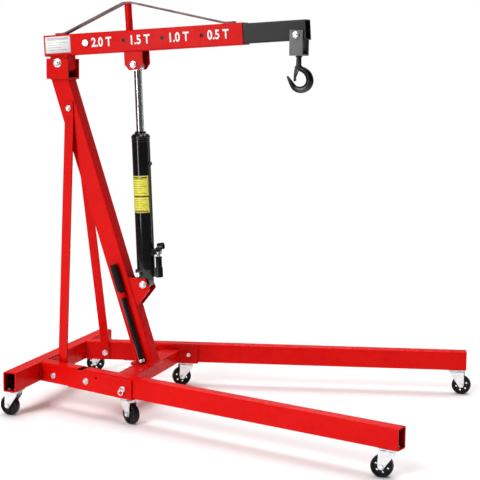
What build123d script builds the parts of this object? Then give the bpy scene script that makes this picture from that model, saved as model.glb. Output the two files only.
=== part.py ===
from build123d import *
import math
import os

# Folding engine hoist crane.  Millimetres, +X forward along the boom, +Z up, mast plane at Y = 0.

# the origin lies this far ahead of the rear tube's back face
ORIGIN_X = 729.31

# base frame
TUBE_H = 72.0
TUBE_W = 50.0
WALL = 4.0
BASE_TOP = 167.0
BASE_BOTTOM = BASE_TOP - TUBE_H
REAR_HALF_LENGTH = 400.0
SPLAY_DEG = 14.7
RAIL_START_Y = 214.0
RAIL_LENGTH = 176.0
BRACE_BOLT_S = 65.0
BRACE_BOLT_Z = 125.0
SADDLE_START = 138.0
SADDLE_END = 428.0
SADDLE_PLATE = 6.0
SADDLE_TOP = 163.0
SADDLE_FLOOR_START = 322.0
SADDLE_FLOOR_T = 3.6
FOLD_PIN_S = 224.0
FOLD_PIN_Z = 130.0
STORE_HOLE_S = 269.0
STORE_HOLE_Z = 147.0
LOCK_PIN_S = 393.0
LOCK_PIN_Z = 127.0
RING_R = 9.5
RING_WIRE = 1.6
FRONT_TUBE_X0 = 340.0
FRONT_TUBE_X1 = 412.0
FRONT_TUBE_TOP = 145.0

# legs
LEG_START = 200.0
LEG_END = 1463.0
LEG_CASTER_S = 1424.0

# casters
WHEEL_D = 72.0
WHEEL_W = 24.0
HUB_W = 29.0
TRAIL = 24.0
CASTER_PLATE = 62.0
CASTER_PLATE_T = 3.0
CASTER_BOLT_X = 22.0
CASTER_BOLT_Y = 13.0
CASTER_BOLT_R = 3.0
RACE_R = 19.0
REAR_CASTER_Y = 357.0
MID_CASTER_S = 385.0
MID_CASTER_TOP = BASE_BOTTOM - SADDLE_FLOOR_T - 0.4

# mast
MAST_LEAN_DEG = 18.3
MAST_D = 69.0
MAST_W = 62.0
FOOT_X = 384.7
FOOT_T = 8.0
HEAD_FLOOR_Z = 1188.0
HEAD_TOP_Z = 1262.0
HEAD_X0 = -4.0
HEAD_X1 = 84.0
HEAD_W = 92.0
CHEEK_T = 7.0
CLEVIS_T = 7.0

# braces
BRACE_TOP_X = 3.8
BRACE_TOP_S = 978.0
BRACE_W = 34.0
BRACE_T = 7.0

# pivots of the lifting linkage
PIVOT_X = 41.0
PIVOT_Z = 1247.0
RAM_FOOT_X = 378.0
RAM_FOOT_Z = 446.0
PIVOT_BOLT_D = 16.0
RUN = 0.05

# boom, in boom coordinates: s along the boom, u up from its underside
BOOM_RISE_DEG = 3.94
BOOM_LENGTH = 773.0
BOOM_H = 77.0
BOOM_W = 72.0
BOOM_WALL = 3.5
PIVOT_S = 55.0
PIVOT_U = -25.0
LUG_S0 = 22.0
LUG_S1 = 89.0
LUG_U = -57.0
HOLE_S = 171.0
HOLE_PITCH = 150.0
HOLE_U = 41.0
HOLE_D = 14.0
EAR_PIN_S = 353.0
EAR_PIN_U = -47.0
EAR_HALF_W = 35.0
EAR_T = 8.0
POST_S = 330.0
POST_D = 26.0
POST_TOP_U = 172.0
STRAP_REAR_S = 75.0
STRAP_FRONT_S = 698.0
STRAP_T = 7.0
STRAP_W = 32.0

# extension and hook
EXT_START = 128.0
EXT_TIP = 1000.0
EXT_H = 69.6
EXT_W = 64.6
EXT_WALL = 4.0
YOKE_S = 968.0
YOKE_U = 22.0
YOKE_PLATE_W = 47.0
YOKE_T = 6.0
YOKE_DROP = 71.0
YOKE_RISE = 17.0
HOOK_DROP = 153.0
HOOK_OFFSET = 6.0

# stored handle, in mast coordinates
HANDLE_R = 10.0
HANDLE_X = -2.0
HANDLE_Y = -46.0
HANDLE_LOW = 6.0
GRIP_R = 14.0
GRIP_LOW = 282.0
GRIP_TOP = 382.0
CLIP_S = 264.0

# hook: the bar's middle line and radius from shank to tip, and the latch pin, from the middle of the bowl
HOOK_BAR = [(-6, 60, 9.3), (-6, 48, 9.3), (2, 37.5, 9.8), (17, 30, 11), (30, 16, 12.5), (35, -4, 13.3),
            (29, -21, 13.3), (15, -32, 12.5), (-2, -35, 11.5), (-18, -30, 10.2), (-29, -18, 8.8),
            (-37, -5, 6.5), (-46, 9, 3.5)]
LATCH_X = -10.0
LATCH_Z = 42.0
LATCH_PIN_R = 2.0

# ram
RAM_R = 33.0
RAM_WALL = 7.0
ROD_R = 14.0
RAM_BASE_TOP = 54.0
RING_Z = 276.0
PLUG_Z = 442.0
VALVE_X = -18.0
VALVE_Z = 37.0
PUMP_X = 52.0
PUMP_R = 11.5
PUMP_BOSS_R = 14.0
PUMP_TOP = 100.0
PLUNGER_R = 6.0
LINK_Z = 116.0
FULCRUM_X = 42.0
FULCRUM_Z = 122.0
SOCKET_X0 = 52.0
SOCKET_X1 = 73.0
SOCKET_Z = 137.0
SOCKET_TILT = 10.0
SOCKET_R = 12.5
SOCKET_BORE_R = 10.5
RAM_TUBE_TOP = 538.0
RAM_CAP_TOP = 556.0
EYE_R = 22.0


def box(x0, x1, y0, y1, z0, z1):
    return Pos((x0 + x1) / 2, (y0 + y1) / 2, (z0 + z1) / 2) * Box(x1 - x0, y1 - y0, z1 - z0)


def frame(origin, x_dir, z_dir):
    return Plane(origin=origin, x_dir=x_dir, z_dir=z_dir).location


def rod_z(radius, z0, z1, x=0.0, y=0.0):
    return Pos(x, y, (z0 + z1) / 2) * Cylinder(radius, z1 - z0)


def rod_y(radius, y0, y1, x=0.0, z=0.0):
    return Pos(x, (y0 + y1) / 2, z) * Rot(90, 0, 0) * Cylinder(radius, y1 - y0)


def rod_x(radius, x0, x1, y=0.0, z=0.0):
    return Pos((x0 + x1) / 2, y, z) * Rot(0, 90, 0) * Cylinder(radius, x1 - x0)


def hex_y(flats, y0, y1, x=0.0, z=0.0):
    prism = extrude(RegularPolygon(flats / 2, 6, major_radius=False), y1 - y0)
    return Pos(x, y1, z) * Rot(90, 0, 0) * prism


def hex_z(flats, z0, z1, x=0.0, y=0.0):
    return Pos(x, y, z0) * extrude(RegularPolygon(flats / 2, 6, major_radius=False), z1 - z0)


def tube_x(x0, x1, width, height, wall, y=0.0, z=0.0, radius=5.0):
    outer = box(x0, x1, y - width / 2, y + width / 2, z, z + height)
    outer = fillet(outer.edges().filter_by(Axis.X), radius)
    inner = box(x0 - 1, x1 + 1, y - width / 2 + wall, y + width / 2 - wall, z + wall, z + height - wall)
    inner = fillet(inner.edges().filter_by(Axis.X), max(radius - wall, 0.8))
    return outer - inner


def plate_xz(points, y0, y1):
    face = make_face(Polyline(*points, close=True))
    return Pos(0, y1, 0) * Rot(90, 0, 0) * extrude(face, y1 - y0)


def far(shape):
    return mirror(shape, Plane.XZ)


def group(*shapes):
    solids = []
    for shape in shapes:
        solids.extend(shape.solids())
    return Compound(children=solids)


splay = math.radians(SPLAY_DEG)
RAIL = frame((TUBE_W, -RAIL_START_Y, 0), (math.cos(splay), -math.sin(splay), 0), (0, 0, 1))
lean = math.radians(MAST_LEAN_DEG)
mast_x = (math.cos(lean), 0, math.sin(lean))
MAST = frame((FOOT_X, 0, FRONT_TUBE_TOP + FOOT_T), mast_x, (-math.sin(lean), 0, math.cos(lean)))
rise = math.radians(BOOM_RISE_DEG)
BOOM_X = PIVOT_X - PIVOT_S * math.cos(rise) + PIVOT_U * math.sin(rise)
BOOM_Z = PIVOT_Z - PIVOT_S * math.sin(rise) - PIVOT_U * math.cos(rise)
BOOM = frame((BOOM_X, 0, BOOM_Z), (math.cos(rise), 0, math.sin(rise)), (-math.sin(rise), 0, math.cos(rise)))
EYE_X = BOOM_X + EAR_PIN_S * math.cos(rise) - EAR_PIN_U * math.sin(rise)
EYE_Z = BOOM_Z + EAR_PIN_S * math.sin(rise) + EAR_PIN_U * math.cos(rise)
RAM_LENGTH = math.hypot(EYE_X - RAM_FOOT_X, EYE_Z - RAM_FOOT_Z)
ram_dir = ((EYE_X - RAM_FOOT_X) / RAM_LENGTH, 0, (EYE_Z - RAM_FOOT_Z) / RAM_LENGTH)
RAM = frame((RAM_FOOT_X, 0, RAM_FOOT_Z), (ram_dir[2], 0, -ram_dir[0]), ram_dir)


def rail_point(s, inward, z):
    spot = RAIL.position + RAIL.x_axis.direction * s + RAIL.y_axis.direction * inward
    return Vector(spot.X, spot.Y, z)


def mast_point(forward, up):
    return MAST.position + MAST.x_axis.direction * forward + MAST.z_axis.direction * up


# ---- base frame -------------------------------------------------------------------------
REAR_SPOT = Vector(TUBE_W / 2, -REAR_CASTER_Y, 0)
MID_SPOT = rail_point(MID_CASTER_S, TUBE_W / 2, 0)
TIP_SPOT = rail_point(LEG_CASTER_S, TUBE_W / 2, 0)
CASTER_BOLTS = [(sx * CASTER_BOLT_X, sy * CASTER_BOLT_Y) for sx in (-1, 1) for sy in (-1, 1)]


def caster_place(spot, top, turn=0.0):
    return Pos(spot.X, spot.Y, top) * Rot(0, 0, turn)


def caster_plate():
    plate = box(-CASTER_PLATE / 2, CASTER_PLATE / 2, -24, 24, -CASTER_PLATE_T, 0)
    plate = fillet(plate.edges().filter_by(Axis.Z), 6)
    race = rod_z(RACE_R, -CASTER_PLATE_T - 4.5, -CASTER_PLATE_T)
    body = plate + race - rod_z(5 + RUN, -20, 5)
    for x, y in CASTER_BOLTS:
        body -= rod_z(CASTER_BOLT_R, -10, 5, x, y)
    return body


def caster_bolts(wall):
    bolts = []
    for x, y in CASTER_BOLTS:
        shank = rod_z(CASTER_BOLT_R, -CASTER_PLATE_T - 4.3, wall, x, y)
        head = hex_z(10, wall, wall + 4, x, y)
        nut = hex_z(10, -CASTER_PLATE_T - 4, -CASTER_PLATE_T, x, y)
        bolts.append(shank + head + nut)
    return bolts


def cut_bolts(body, place):
    for x, y in CASTER_BOLTS:
        body -= place * rod_z(CASTER_BOLT_R, -20, 12, x, y)
    return body


def pierce_y(body, place, radius, s, z, y0, y1):
    return body - place * rod_y(radius, y0, y1, s, z)


def caster_fork(height):
    axle_z = WHEEL_D / 2 - height
    crown_top = -CASTER_PLATE_T - 4.8
    crown = rod_z(22, crown_top - 3, crown_top) + box(0, TRAIL + 6, -18, 18, crown_top - 3, crown_top)
    crown = crown + rod_z(5, crown_top - 2, -0.4) + rod_z(8, crown_top - 5.5, crown_top - 2)
    cheek = [(-17, crown_top), (TRAIL + 10, crown_top), (TRAIL + 12, axle_z + 8), (TRAIL + 9, axle_z - 7),
             (TRAIL - 4, axle_z - 10), (TRAIL - 11, axle_z), (-17, crown_top - 9)]
    near = plate_xz(cheek, -18, -15)
    far_side = plate_xz(cheek, 15, 18)
    body = crown + near + far_side
    return body - rod_y(5, -30, 30, TRAIL, axle_z)


def caster_axle(height):
    z = WHEEL_D / 2 - height
    body = rod_y(5, -20, 22, TRAIL, z) + hex_y(14, -23.5, -18, TRAIL, z) + hex_y(14, 18, 23.5, TRAIL, z)
    return body


def caster_wheel(height):
    z = WHEEL_D / 2 - height
    rim = WHEEL_D / 2
    profile = make_face(Polyline(
        (5 + RUN, -HUB_W / 2), (10, -HUB_W / 2), (12, -9), (15, -6), (26, -6), (28, -10), (30, -WHEEL_W / 2),
        (rim - 2.5, -WHEEL_W / 2), (rim, -WHEEL_W / 2 + 4), (rim, WHEEL_W / 2 - 4), (rim - 2.5, WHEEL_W / 2),
        (30, WHEEL_W / 2), (28, 10), (26, 6), (15, 6), (12, 9), (10, HUB_W / 2), (5 + RUN, HUB_W / 2),
        close=True))
    wheel = revolve(profile, Axis.Y)
    for k in range(6):
        angle = math.radians(60 * k + 20)
        wheel -= rod_y(4.2, -20, 20, 20.5 * math.cos(angle), 20.5 * math.sin(angle))
    return Pos(TRAIL, 0, z) * wheel


def build_rear_tube():
    body = Rot(0, 0, 90) * tube_x(-REAR_HALF_LENGTH, REAR_HALF_LENGTH, TUBE_W, TUBE_H, WALL)
    body = Pos(TUBE_W / 2, 0, BASE_BOTTOM) * body
    for side in (-1, 1):
        body = cut_bolts(body, caster_place(Vector(TUBE_W / 2, side * REAR_CASTER_Y, 0), BASE_BOTTOM, 90))
    return body


def build_rail():
    rail = RAIL * tube_x(-30, RAIL_LENGTH, TUBE_W, TUBE_H, WALL, TUBE_W / 2, BASE_BOTTOM)
    rail -= box(-60, TUBE_W, -400, 400, 0, 300)
    return pierce_y(rail, RAIL, 6, BRACE_BOLT_S, BRACE_BOLT_Z, -20, TUBE_W + 20)


def build_saddle():
    outline = [(SADDLE_START, BASE_BOTTOM + 1), (SADDLE_END, BASE_BOTTOM - 3.9), (SADDLE_END, SADDLE_TOP),
               (SADDLE_START + 22, SADDLE_TOP), (SADDLE_START, SADDLE_TOP - 1)]
    outer = plate_xz(outline, -SADDLE_PLATE - 0.4, -0.4)
    inner = plate_xz(outline, TUBE_W + 0.4, TUBE_W + 0.4 + SADDLE_PLATE)
    floor_z = BASE_BOTTOM - 0.3
    floor = box(SADDLE_FLOOR_START, SADDLE_END, -0.4, TUBE_W + 0.4, floor_z - SADDLE_FLOOR_T, floor_z)
    packer_out = box(SADDLE_START, RAIL_LENGTH - 1, -0.4, 0, BASE_BOTTOM + 8, SADDLE_TOP - 8)
    packer_in = box(SADDLE_START, RAIL_LENGTH - 1, TUBE_W, TUBE_W + 0.4, BASE_BOTTOM + 8, SADDLE_TOP - 8)
    body = RAIL * (outer + inner + floor + packer_out + packer_in)
    holes = ((FOLD_PIN_S, FOLD_PIN_Z, 7), (STORE_HOLE_S, STORE_HOLE_Z, 4), (LOCK_PIN_S, LOCK_PIN_Z, 7 + RUN))
    for s, z, radius in holes:
        body = pierce_y(body, RAIL, radius, s, z, -20, TUBE_W + 20)
    place = caster_place(MID_SPOT, BASE_BOTTOM, -SPLAY_DEG)
    return cut_bolts(body, place)


def build_fold_pin():
    out = SADDLE_PLATE + 0.4
    pin = rod_y(7, -out - 12, TUBE_W + out + 2, FOLD_PIN_S, FOLD_PIN_Z)
    nut = hex_y(22, -out - 9.6, -out, FOLD_PIN_S, FOLD_PIN_Z)
    head = hex_y(22, TUBE_W + out, TUBE_W + out + 9, FOLD_PIN_S, FOLD_PIN_Z)
    return RAIL * (pin + head + nut)


def build_lock_pin():
    tail = -SADDLE_PLATE - 22
    pin = rod_y(7, -SADDLE_PLATE - 10, TUBE_W + SADDLE_PLATE + 12, LOCK_PIN_S, LOCK_PIN_Z)
    collar = rod_y(10.5, -SADDLE_PLATE - 6.4, -SADDLE_PLATE - 0.8, LOCK_PIN_S, LOCK_PIN_Z)
    tab = box(LOCK_PIN_S - 2.5, LOCK_PIN_S + 2.5, tail, -SADDLE_PLATE - 9, LOCK_PIN_Z - 6, LOCK_PIN_Z + 6)
    hole = rod_x(RING_WIRE + 0.9, LOCK_PIN_S - 5, LOCK_PIN_S + 5, tail + 5, LOCK_PIN_Z)
    return RAIL * (pin + collar + tab - hole)


def build_lock_ring():
    ring = Pos(LOCK_PIN_S, -SADDLE_PLATE - 17, LOCK_PIN_Z - RING_R) * Rot(90, 0, 0) * Torus(RING_R, RING_WIRE)
    return RAIL * ring


def build_front_tube():
    length = RAIL_START_Y + (FRONT_TUBE_X1 - TUBE_W) * math.tan(splay)
    width = FRONT_TUBE_X1 - FRONT_TUBE_X0
    tube = Rot(0, 0, 90) * tube_x(-length, length, width, FRONT_TUBE_TOP - BASE_BOTTOM, WALL)
    tube = Pos((FRONT_TUBE_X0 + FRONT_TUBE_X1) / 2, 0, BASE_BOTTOM) * tube
    trim = RAIL * box(-200, 900, -300, TUBE_W + 0.4 + SADDLE_PLATE, 0, 300)
    return tube - trim - far(trim)


# ---- legs -------------------------------------------------------------------------------
def build_leg():
    leg = RAIL * tube_x(LEG_START, LEG_END, TUBE_W, TUBE_H, WALL, TUBE_W / 2, BASE_BOTTOM)
    leg = pierce_y(leg, RAIL, 7 + RUN, FOLD_PIN_S, FOLD_PIN_Z, -20, TUBE_W + 20)
    leg = pierce_y(leg, RAIL, 8, LOCK_PIN_S, LOCK_PIN_Z, -20, TUBE_W + 20)
    slot = box(LOCK_PIN_S - 12, LOCK_PIN_S + 9, -20, TUBE_W + 20, BASE_BOTTOM - 5, LOCK_PIN_Z)
    leg -= RAIL * slot
    return cut_bolts(leg, caster_place(TIP_SPOT, BASE_BOTTOM, -SPLAY_DEG))


def build_leg_caster_mount():
    place = caster_place(TIP_SPOT, BASE_BOTTOM, -SPLAY_DEG)
    return group(place * caster_plate(), *[place * b for b in caster_bolts(WALL)])


# ---- mast -------------------------------------------------------------------------------
def build_foot_plate():
    x0 = FRONT_TUBE_X0 - 6
    x1 = FRONT_TUBE_X1 + 14
    z0 = FRONT_TUBE_TOP
    body = box(x0, x1, -50, 50, z0, z0 + FOOT_T)
    return fillet(body.edges().filter_by(Axis.Z), 5)


def build_mast():
    tube = Rot(0, -90, 0) * tube_x(-80, 1250, MAST_W, MAST_D, WALL, 0, -MAST_D / 2)
    tube = Rot(0, 0, 180) * tube
    mast = MAST * tube
    mast &= box(-400, 900, -100, 100, FRONT_TUBE_TOP + FOOT_T, HEAD_FLOOR_Z)
    return mast - MAST * rod_y(6, -60, 60, BRACE_TOP_X, BRACE_TOP_S)


def build_head():
    z1 = HEAD_TOP_Z
    z0 = HEAD_FLOOR_Z
    body = box(HEAD_X0, HEAD_X1, -HEAD_W / 2, HEAD_W / 2, z0, z1)
    body -= box(HEAD_X0 - 1, HEAD_X1 + 1, -HEAD_W / 2 + CHEEK_T, HEAD_W / 2 - CHEEK_T, z0 + 7, z1 + 1)
    body = fillet(body.edges().filter_by(Axis.X).group_by(Axis.Z)[0], 4)
    body -= rod_y(PIVOT_BOLT_D / 2 + RUN, -80, 80, PIVOT_X, PIVOT_Z)
    return body


def build_ram_clevis():
    def face_x(z):
        return FOOT_X - (z - FRONT_TUBE_TOP - FOOT_T) * math.tan(lean) + MAST_D / 2 / math.cos(lean)

    points = [(face_x(468), 468), (385, 468), (403, 428), (face_x(362), 362)]
    out = MAST_W / 2
    near = plate_xz(points, -out, -out + CLEVIS_T)
    body = near + plate_xz(points, out - CLEVIS_T, out)
    return body - rod_y(PIVOT_BOLT_D / 2 + RUN, -80, 80, RAM_FOOT_X, RAM_FOOT_Z)


def brace_ends():
    upper = mast_point(BRACE_TOP_X, BRACE_TOP_S)
    lower = rail_point(BRACE_BOLT_S, TUBE_W, BRACE_BOLT_Z)
    return upper, lower


def build_brace():
    upper, lower = brace_ends()
    run = Vector(lower.X - upper.X, 0, lower.Z - upper.Z)
    down = run.normalized()
    sheet = Plane(origin=(upper.X, 0, upper.Z), x_dir=down, z_dir=down.cross(Vector(0, 1, 0)))
    y_top = -MAST_W / 2
    y_low = lower.Y + BRACE_T + 1
    line = [(-24, y_top), (30, y_top), (run.length - 56, y_low), (run.length - 24, y_low)]
    back = [(s, y - BRACE_T) for s, y in reversed(line)]
    strip = extrude(sheet * make_face(Polyline(*(line + back), close=True)), BRACE_W / 2, both=True)
    half = BRACE_W / 2
    tab = box(BRACE_BOLT_S - half, BRACE_BOLT_S + half, TUBE_W, TUBE_W + BRACE_T, BASE_BOTTOM + 6, BASE_TOP + 6)
    strip = strip + RAIL * tab - RAIL * box(-60, RAIL_LENGTH, -100, TUBE_W, 0, 300)
    strip -= rod_y(6, -60, -20, upper.X, upper.Z)
    return pierce_y(strip, RAIL, 6, BRACE_BOLT_S, BRACE_BOLT_Z, 30, TUBE_W + 60)


def build_brace_bolts():
    upper, _ = brace_ends()
    out = MAST_W / 2 + BRACE_T
    top = rod_y(6, -out - 11, out + 2, upper.X, upper.Z)
    top += hex_y(20, -out - 8.8, -out, upper.X, upper.Z) + hex_y(20, out, out + 8, upper.X, upper.Z)
    inside = TUBE_W + BRACE_T
    low = rod_y(6, -11, inside + 2, BRACE_BOLT_S, BRACE_BOLT_Z)
    low += hex_y(20, -8.8, 0, BRACE_BOLT_S, BRACE_BOLT_Z)
    low += hex_y(20, inside, inside + 8, BRACE_BOLT_S, BRACE_BOLT_Z)
    low = RAIL * low
    return group(top, low, far(low))


# ---- boom -------------------------------------------------------------------------------
def build_boom():
    tube = tube_x(0, BOOM_LENGTH, BOOM_W, BOOM_H, BOOM_WALL)
    for k in range(4):
        tube -= rod_y(HOLE_D / 2 + RUN, -60, 60, HOLE_S + k * HOLE_PITCH, HOLE_U)
    return BOOM * tube


def build_lug():
    points = [(LUG_S0, 0), (LUG_S1, 0), (LUG_S1, LUG_U + 10), (LUG_S1 - 10, LUG_U), (LUG_S0 + 10, LUG_U),
              (LUG_S0, LUG_U + 10)]
    lug = plate_xz(points, -BOOM_W / 2, BOOM_W / 2)
    lug -= rod_y(PIVOT_BOLT_D / 2 + RUN, -80, 80, PIVOT_S, PIVOT_U)
    return BOOM * lug


def build_ears():
    points = [(318, 0), (388, 0), (388, -46), (372, -66), (334, -66), (318, -46)]
    out = EAR_HALF_W
    near = plate_xz(points, -out, -out + EAR_T)
    far_side = plate_xz(points, out - EAR_T, out)
    ears = near + far_side - rod_y(PIVOT_BOLT_D / 2, -80, 80, EAR_PIN_S, EAR_PIN_U)
    return BOOM * ears


def strap_line():
    foot = BOOM_H
    half = POST_D / 2 + 1
    return [(STRAP_REAR_S - 36, foot), (STRAP_REAR_S, foot), (POST_S - half, POST_TOP_U),
            (POST_S + half, POST_TOP_U), (STRAP_FRONT_S, foot), (STRAP_FRONT_S + 36, foot)]


def build_strap():
    low = strap_line()
    high = [(s, u + STRAP_T) for s, u in reversed(low)]
    return BOOM * plate_xz(low + high, -STRAP_W / 2, STRAP_W / 2)


def build_post():
    return BOOM * rod_z(POST_D / 2, BOOM_H, POST_TOP_U, POST_S)


def build_pivot_bolt():
    out = HEAD_W / 2
    z = PIVOT_Z
    bolt = rod_y(PIVOT_BOLT_D / 2, -out - 16, out + 2, PIVOT_X, z)
    bolt += rod_y(16.3, -out - 2.5, -out - 0.3, PIVOT_X, z) + hex_y(24, -out - 13, -out - 2, PIVOT_X, z)
    return bolt + rod_y(16.3, out + 0.3, out + 2.5, PIVOT_X, z) + hex_y(24, out + 2, out + 12, PIVOT_X, z)


def build_ext_pin():
    out = BOOM_W / 2
    pin = rod_y(HOLE_D / 2, -out - 2, out + 12, HOLE_S, HOLE_U)
    return BOOM * (pin + hex_y(22, -out - 9, -out - 0.3, HOLE_S, HOLE_U))


def build_extension():
    z0 = (BOOM_H - EXT_H) / 2
    tube = tube_x(EXT_START, EXT_TIP, EXT_W, EXT_H, EXT_WALL, 0, z0)
    slot = box(EXT_START - 10, HOLE_S, -60, 60, HOLE_U - HOLE_D / 2 - 0.5, HOLE_U + HOLE_D / 2 + 0.5)
    tube -= slot
    tube -= rod_y(HOLE_D / 2 + 0.5, -60, 60, HOLE_S, HOLE_U)
    tube -= rod_y(6 + RUN, -60, 60, YOKE_S, YOKE_U)
    return BOOM * tube


# ---- hook -------------------------------------------------------------------------------
HOOK_X = BOOM_X + YOKE_S * math.cos(rise) - YOKE_U * math.sin(rise)
HOOK_Z = BOOM_Z + YOKE_S * math.sin(rise) + YOKE_U * math.cos(rise)
YOKE_HALF = EXT_W / 2 + 1.5


def build_yoke():
    w = YOKE_PLATE_W / 2
    out = YOKE_HALF + YOKE_T
    yoke = box(-w, w, -out, out, -YOKE_DROP, YOKE_RISE)
    yoke = fillet(yoke.edges().filter_by(Axis.X).group_by(Axis.Z)[0], 6)
    yoke -= box(-w - 1, w + 1, -YOKE_HALF, YOKE_HALF, -YOKE_DROP + YOKE_T, 60)
    yoke -= rod_y(6, -80, 80) + rod_z(9 + RUN, -100, -50)
    return Pos(HOOK_X, 0, HOOK_Z) * yoke


def build_yoke_bolt():
    out = YOKE_HALF + YOKE_T
    bolt = rod_y(6, -out - 12, out + 1)
    bolt += hex_y(22, -out - 9.6, -out) + hex_y(22, out, out + 8.8)
    return Pos(HOOK_X, 0, HOOK_Z) * bolt


def hook_sections():
    line = Plane.XZ * Spline(*[(x, z) for x, z, radius in HOOK_BAR])
    stops = [line.param_at_point(Vector(x, 0, z)) for x, z, radius in HOOK_BAR]
    sections = []
    for k in range(2 * len(HOOK_BAR) - 1):
        low, high = k // 2, (k + 1) // 2
        t = (stops[low] + stops[high]) / 2
        radius = (HOOK_BAR[low][2] + HOOK_BAR[high][2]) / 2
        spot = line.position_at(t, PositionMode.PARAMETER)
        tangent = line.tangent_at(t, PositionMode.PARAMETER)
        sections.append(Plane(origin=spot, x_dir=(0, 1, 0), z_dir=tangent) * Circle(radius))
    return sections


def build_hook():
    floor_top = HOOK_DROP - YOKE_DROP + YOKE_T
    body = loft(hook_sections(), ruled=True)
    stem = rod_z(9, 54, floor_top + 20, -HOOK_OFFSET)
    shoulder = rod_z(12, HOOK_DROP - YOKE_DROP - 5, HOOK_DROP - YOKE_DROP - 0.6, -HOOK_OFFSET)
    nut = hex_z(26, floor_top + 0.6, floor_top + 16, -HOOK_OFFSET)
    pin = rod_y(LATCH_PIN_R, -14, 14, LATCH_X, LATCH_Z)
    return Pos(HOOK_X + HOOK_OFFSET, 0, HOOK_Z - HOOK_DROP) * (body + stem + shoulder + nut + pin)


def build_latch():
    side = [(LATCH_X - 6, LATCH_Z + 5), (LATCH_X + 4, LATCH_Z + 5), (LATCH_X + 4, LATCH_Z - 6),
            (-18, 8), (-20, 8), (-20, 20)]
    near = plate_xz(side, -12.8, -11)
    far_side = plate_xz(side, 11, 12.8)
    tongue = plate_xz([(-20.2, 21), (-18.2, 21), (-18.4, -6), (-20.4, -6)], -12.8, 12.8)
    tongue &= plate_xz([(-30, 30), (0, 30), (0, -10), (-30, -10)], -12.8, 12.8)
    latch = near + far_side + tongue - rod_y(LATCH_PIN_R + RUN, -30, 30, LATCH_X, LATCH_Z)
    return Pos(HOOK_X + HOOK_OFFSET, 0, HOOK_Z - HOOK_DROP) * latch


# ---- ram --------------------------------------------------------------------------------
def build_ram_base():
    block = box(-35, 35, -27, 27, 37, RAM_BASE_TOP)
    block = fillet(block.edges().filter_by(Axis.Z), 9) + box(-32, 32, -22, 22, 24, 38)
    boss = box(20, PUMP_X, -13, 13, 28, RAM_BASE_TOP) + rod_z(PUMP_BOSS_R, 24, RAM_BASE_TOP + 6, PUMP_X)
    lug = box(-20, 20, -22, 22, 0, 24) + rod_y(20, -22, 22)
    body = block + boss + lug
    body -= rod_y(PIVOT_BOLT_D / 2 + RUN, -80, 80)
    body -= rod_y(5 + RUN, -60, -10, VALVE_X, VALVE_Z)
    body -= rod_z(PUMP_R, RAM_BASE_TOP, RAM_BASE_TOP + 7, PUMP_X) + rod_z(5.2, 36, RAM_BASE_TOP + 1, PUMP_X)
    return RAM * body


def build_ram_cylinder():
    tube = rod_z(RAM_R, RAM_BASE_TOP, RAM_TUBE_TOP) - rod_z(RAM_R - RAM_WALL, RAM_BASE_TOP - 1, RAM_TUBE_TOP + 1)
    tube -= rod_x(4, RAM_R - 12, RAM_R + 2, 0, PLUG_Z)
    bracket = box(20, FULCRUM_X + 7, -14, -9, FULCRUM_Z - 13, FULCRUM_Z + 6)
    bracket += box(20, FULCRUM_X + 7, 9, 14, FULCRUM_Z - 13, FULCRUM_Z + 6)
    bracket -= rod_z(RAM_R - 1, 60, 300)
    bracket += rod_y(4, -14, 14, FULCRUM_X, FULCRUM_Z)
    plug = rod_x(4, RAM_R - 6, RAM_R + 1, 0, PLUG_Z) + rod_x(7, RAM_R + 0.6, RAM_R + 5, 0, PLUG_Z)
    return group(RAM * (tube + bracket), RAM * plug)


def build_ram_cap():
    profile = make_face(Polyline(
        (ROD_R + RUN, RAM_TUBE_TOP), (RAM_R + 1, RAM_TUBE_TOP), (RAM_R + 1, RAM_TUBE_TOP + 5),
        (RAM_R - 5, RAM_TUBE_TOP + 12), (ROD_R + 8, RAM_TUBE_TOP + 14), (ROD_R + 6, RAM_CAP_TOP),
        (ROD_R + RUN, RAM_CAP_TOP), close=True))
    return RAM * revolve(Plane.XZ * profile, Axis.Z)


def build_ram_ring():
    ring = rod_z(RAM_R - RAM_WALL - RUN, RING_Z, RING_Z + 24) - rod_z(ROD_R + RUN, RING_Z - 1, RING_Z + 30)
    return RAM * ring


def build_ram_rod():
    rod = rod_z(ROD_R, RING_Z - 4, RAM_LENGTH - 12)
    eye = rod_y(EYE_R, -24, 24, 0, RAM_LENGTH)
    rod = rod + eye - rod_y(PIVOT_BOLT_D / 2, -60, 60, 0, RAM_LENGTH)
    core = rod_y(PIVOT_BOLT_D / 2, -24, 24, 0, RAM_LENGTH)
    return group(RAM * rod, RAM * core)


def build_upper_bolt():
    out = EAR_HALF_W
    inner = out - EAR_T
    r = PIVOT_BOLT_D / 2
    nut = rod_y(r, -out - 14, -inner, EAR_PIN_S, EAR_PIN_U) + hex_y(25, -out - 11, -out, EAR_PIN_S, EAR_PIN_U)
    head = rod_y(r, inner, out + 1, EAR_PIN_S, EAR_PIN_U) + hex_y(25, out, out + 10, EAR_PIN_S, EAR_PIN_U)
    return group(BOOM * nut, BOOM * head)


def build_lower_bolt():
    out = MAST_W / 2
    bolt = rod_y(PIVOT_BOLT_D / 2, -out - 14.3, out + 1)
    bolt += hex_y(25, -out - 11.3, -out - 0.3) + hex_y(25, out + 0.3, out + 10.3)
    return Pos(RAM_FOOT_X, 0, RAM_FOOT_Z) * bolt


def build_pump_cylinder():
    pump = rod_z(PUMP_R, RAM_BASE_TOP, PUMP_TOP, PUMP_X) - rod_z(PLUNGER_R + RUN, 40, PUMP_TOP + 1, PUMP_X)
    pump = pump + rod_z(5.2, 40, RAM_BASE_TOP, PUMP_X) - rod_z(3, 39, RAM_BASE_TOP + 1, PUMP_X)
    return RAM * pump


def build_plunger():
    stem = rod_z(PLUNGER_R, RAM_BASE_TOP + 3, LINK_Z - 8, PUMP_X)
    head = box(PUMP_X - 5, PUMP_X + 5, -5, 5, LINK_Z - 8, LINK_Z + 5)
    return RAM * (stem + head + rod_y(3, -11, 11, PUMP_X, LINK_Z))


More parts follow.
